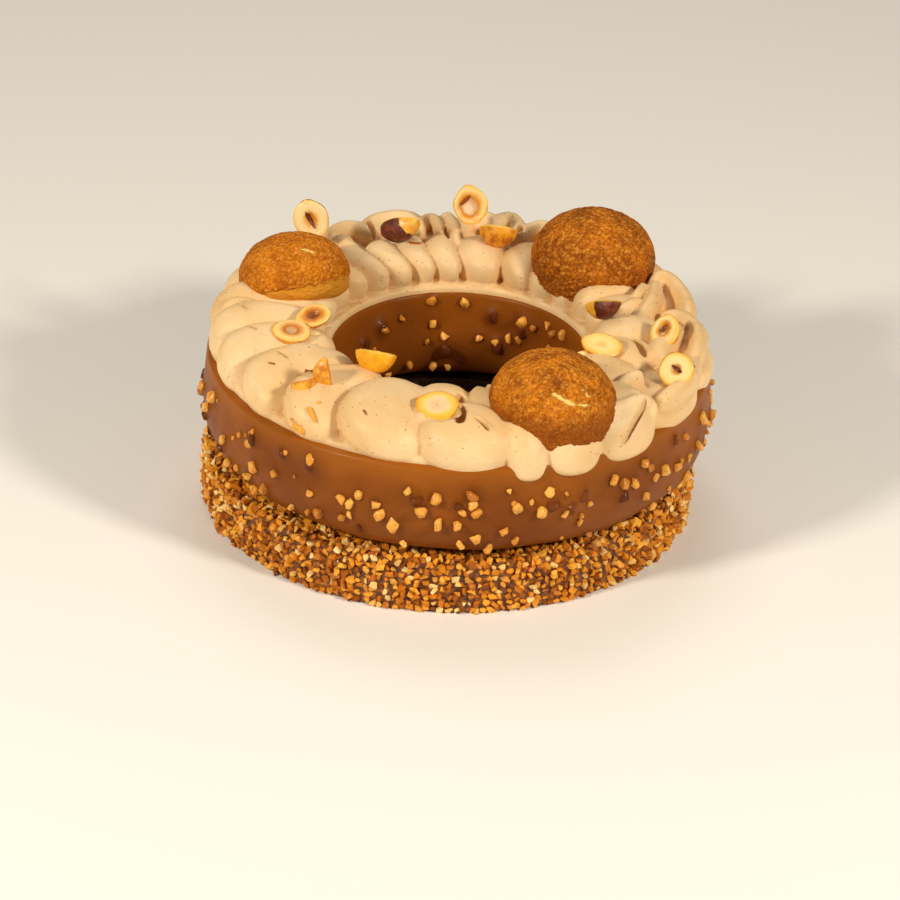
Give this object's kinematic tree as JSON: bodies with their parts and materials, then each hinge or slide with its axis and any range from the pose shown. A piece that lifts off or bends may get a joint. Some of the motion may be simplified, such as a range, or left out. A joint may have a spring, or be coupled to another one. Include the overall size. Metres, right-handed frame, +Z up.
{
  "type": "paris-brest cake",
  "caption": "Ring-shaped choux and praline cake: a milk-chocolate glazed ring on a chopped nut crust, topped with piped cream, choux buns and roasted hazelnuts.",
  "frame": {"origin": "on the glazed ring's axis, at the plane that the crust rests on", "axes": "+Z up; the side that the picture shows looks along -Y; +X to the viewer's right"},
  "size_m": [0.1881, 0.1887, 0.0914],
  "materials": {
    "crust": "chopped roasted nuts held by caramel, rough",
    "glaze": "milk-chocolate glaze with chopped nuts, satin",
    "cream": "piped praline cream with fine specks, soft satin",
    "choux": "baked sugar crust, grainy and dry",
    "hazelnut": "roasted hazelnut, cut faces pale, some brown skin"
  },
  "bodies": {
    "root": {"nut_crust": "crust", "chocolate_ring": "glaze", "praline_cream": "cream", "choux_bun_1": "choux", "choux_bun_2": "choux", "choux_bun_3": "choux", "hazelnut_1": "hazelnut", "hazelnut_2": "hazelnut", "hazelnut_3": "hazelnut", "hazelnut_4": "hazelnut", "hazelnut_5": "hazelnut", "hazelnut_6": "hazelnut", "hazelnut_7": "hazelnut", "hazelnut_8": "hazelnut", "hazelnut_9": "hazelnut", "hazelnut_10": "hazelnut", "hazelnut_11": "hazelnut", "hazelnut_12": "hazelnut", "hazelnut_13": "hazelnut", "hazelnut_14": "hazelnut"}
  },
  "joints": []
}
